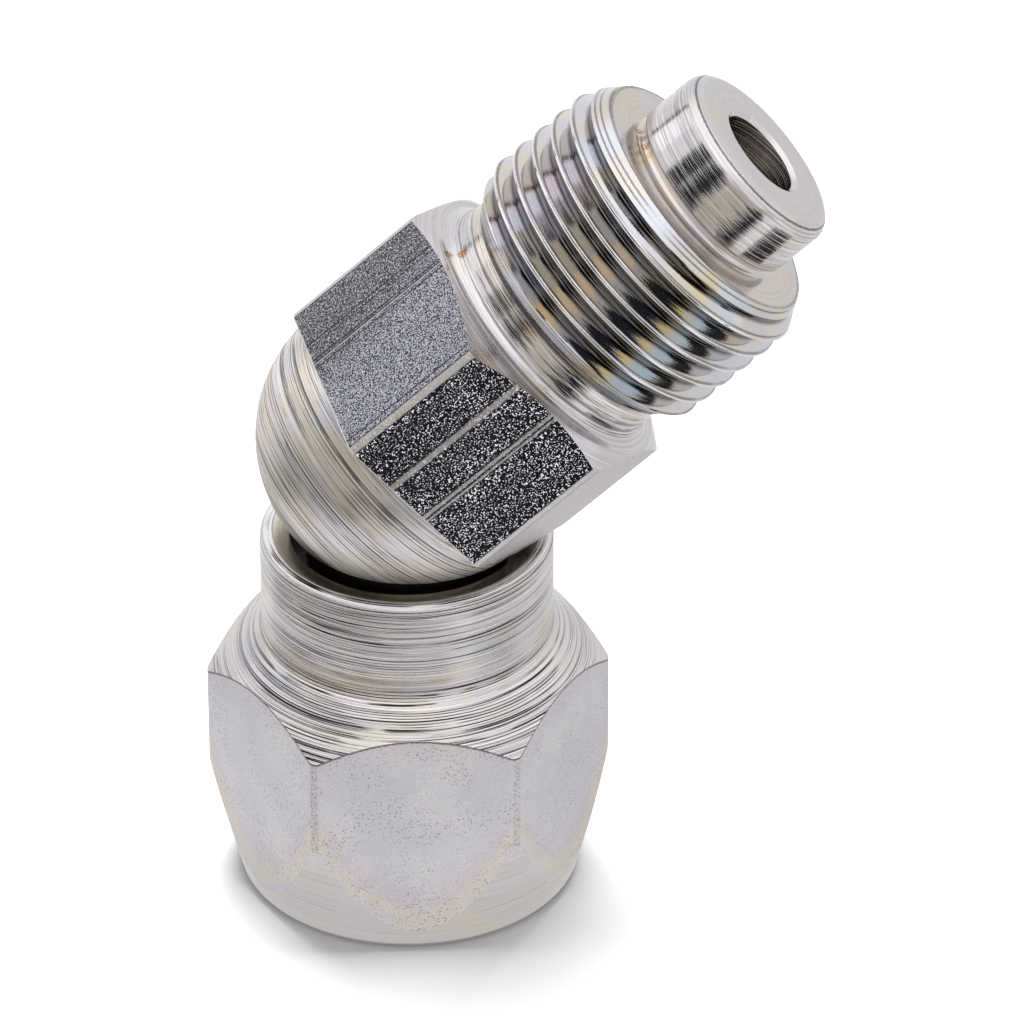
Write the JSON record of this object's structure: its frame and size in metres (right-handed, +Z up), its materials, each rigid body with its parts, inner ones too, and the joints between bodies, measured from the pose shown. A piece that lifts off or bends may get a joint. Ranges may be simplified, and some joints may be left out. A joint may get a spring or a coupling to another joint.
{
  "type": "swivel adapter",
  "caption": "Angled swivel adapter: a tapered hexagon nut turns about a hollow spindle under a ball-backed hexagon elbow that ends in a male thread and a plain round nose.",
  "frame": {"origin": "bottom centre of the bounding box, in the plane of the nut's lower end; the nut's axis stands beside it", "axes": "+Z up along the nut's axis and the swivel's axis, +X towards the side the elbow leans to, -Y towards the viewer of the picture"},
  "size_m": [0.044, 0.0258, 0.0638],
  "materials": {
    "zinc_plated_steel": "clear zinc plate, satin",
    "zinc_on_bar_stock": "clear zinc plate over drawn and turned bar",
    "plain_steel": "fine turned",
    "sintered_bronze": "matte",
    "black_rubber": "matte",
    "white_plastic": "matte"
  },
  "bodies": {
    "nut": {"swivel_nut": "zinc_plated_steel"},
    "elbow": {"elbow_body": "zinc_on_bar_stock", "spindle": "plain_steel", "thrust_washer": "sintered_bronze", "spindle_o_ring": "black_rubber", "backup_ring": "white_plastic", "seat_gasket": "white_plastic"}
  },
  "joints": [
    {"name": "swivel", "type": "hinge", "parent": "nut", "child": "elbow", "pos_m": [-0.0075, 0, 0.0356], "axis": [0, 0, 1], "continuous": true}
  ]
}
